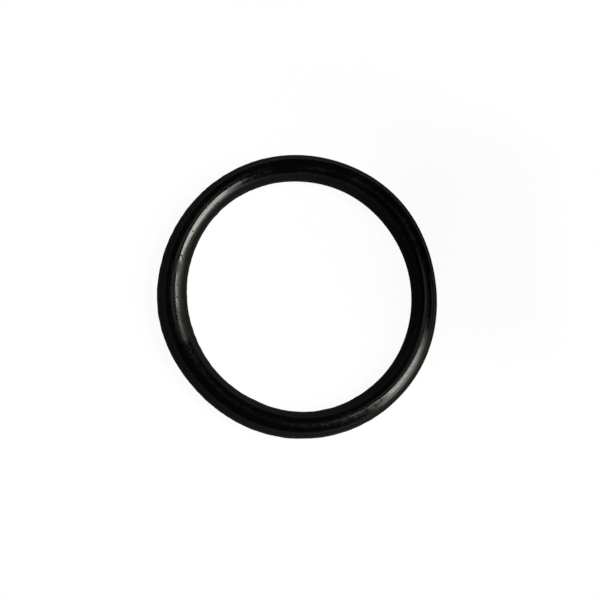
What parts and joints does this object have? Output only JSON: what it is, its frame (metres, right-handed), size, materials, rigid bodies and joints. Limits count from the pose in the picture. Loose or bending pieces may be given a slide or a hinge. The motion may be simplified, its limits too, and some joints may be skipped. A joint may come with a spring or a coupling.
{
  "type": "o-ring",
  "caption": "Round moulded rubber seal ring of circular section, squeezed in a groove to seal a shaft, a bore or a flat joint.",
  "frame": {"origin": "centre of the ring, halfway up its thickness, on the mould's parting plane", "axes": "+Z along the ring's axis; the ring is the same all round, so +X and +Y are any two directions across it"},
  "size_m": [0.0372, 0.0372, 0.0034],
  "materials": {
    "rubber": "satin black nitrile rubber"
  },
  "bodies": {
    "root": {"o_ring": "rubber"}
  },
  "joints": []
}
